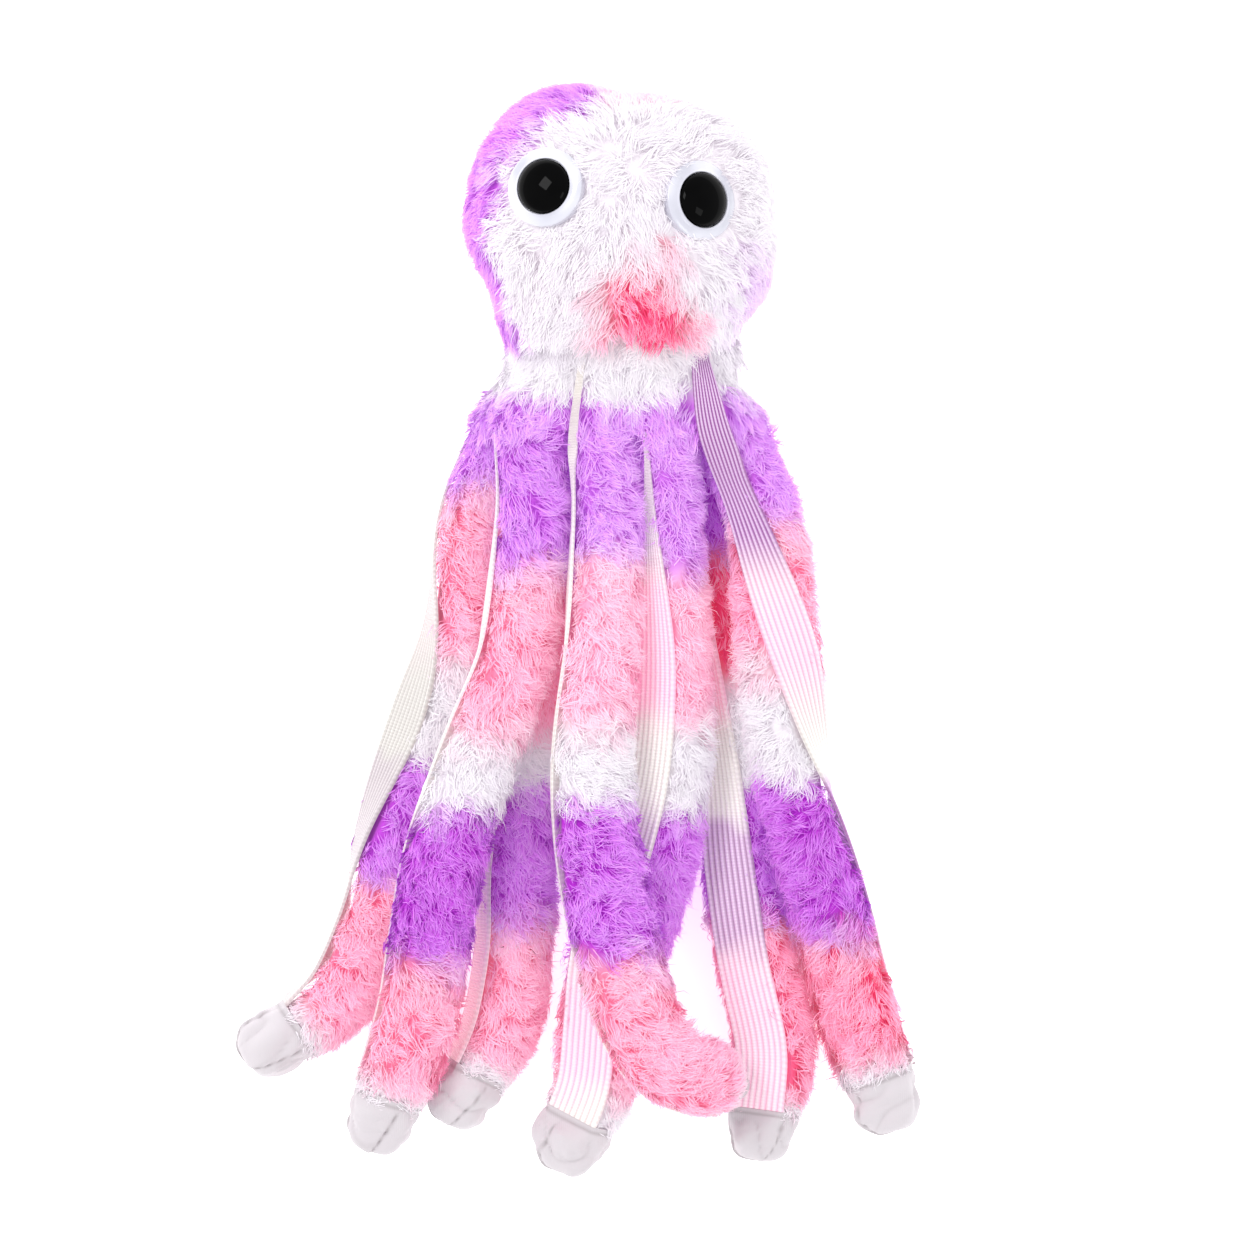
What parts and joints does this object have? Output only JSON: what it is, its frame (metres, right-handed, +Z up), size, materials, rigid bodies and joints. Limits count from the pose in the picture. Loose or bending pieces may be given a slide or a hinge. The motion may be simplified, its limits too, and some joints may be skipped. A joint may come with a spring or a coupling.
{
  "type": "plush octopus cat toy",
  "caption": "Small stuffed plush octopus lying on its back, with a puffed round head, two glossy eyes, a short gathered body and long soft arms edged with ribbed ribbon.",
  "frame": {"origin": "middle of the footprint, on the surface that the toy lies on", "axes": "+Z up from the surface, +Y from the arms' ends to the crown of the head, +X to the right as the upturned face is looked at"},
  "size_m": [0.12, 0.1932, 0.0448],
  "materials": {
    "head_fur": "long soft pile, tie-dyed",
    "body_fur": "long soft pile, tie-dyed",
    "arm_fur": "long soft pile, tie-dyed",
    "ribbon": "shiny ribbed ribbon",
    "toe_fabric": "smooth matt cloth",
    "eye_white": "polished",
    "pupil_black": "polished"
  },
  "bodies": {
    "root": {"head": "head_fur", "body": "body_fur", "eye_dish_left": "eye_white", "eye_pupil_left": "pupil_black", "eye_dish_right": "eye_white", "eye_pupil_right": "pupil_black", "arm_1_fur_sleeve": "arm_fur", "arm_1_ribbon": "ribbon", "arm_1_toe_cap": "toe_fabric", "arm_2_fur_sleeve": "arm_fur", "arm_2_ribbon": "ribbon", "arm_2_toe_cap": "toe_fabric", "arm_3_fur_sleeve": "arm_fur", "arm_3_ribbon": "ribbon", "arm_3_toe_cap": "toe_fabric", "arm_4_fur_sleeve": "arm_fur", "arm_4_ribbon": "ribbon", "arm_4_toe_cap": "toe_fabric", "arm_5_fur_sleeve": "arm_fur", "arm_5_ribbon": "ribbon", "arm_5_toe_cap": "toe_fabric", "arm_6_fur_sleeve": "arm_fur", "arm_6_ribbon": "ribbon", "arm_6_toe_cap": "toe_fabric", "arm_7_fur_sleeve": "arm_fur", "arm_7_ribbon": "ribbon", "arm_7_toe_cap": "toe_fabric", "arm_8_fur_sleeve": "arm_fur", "arm_8_ribbon": "ribbon", "arm_8_toe_cap": "toe_fabric"}
  },
  "joints": []
}
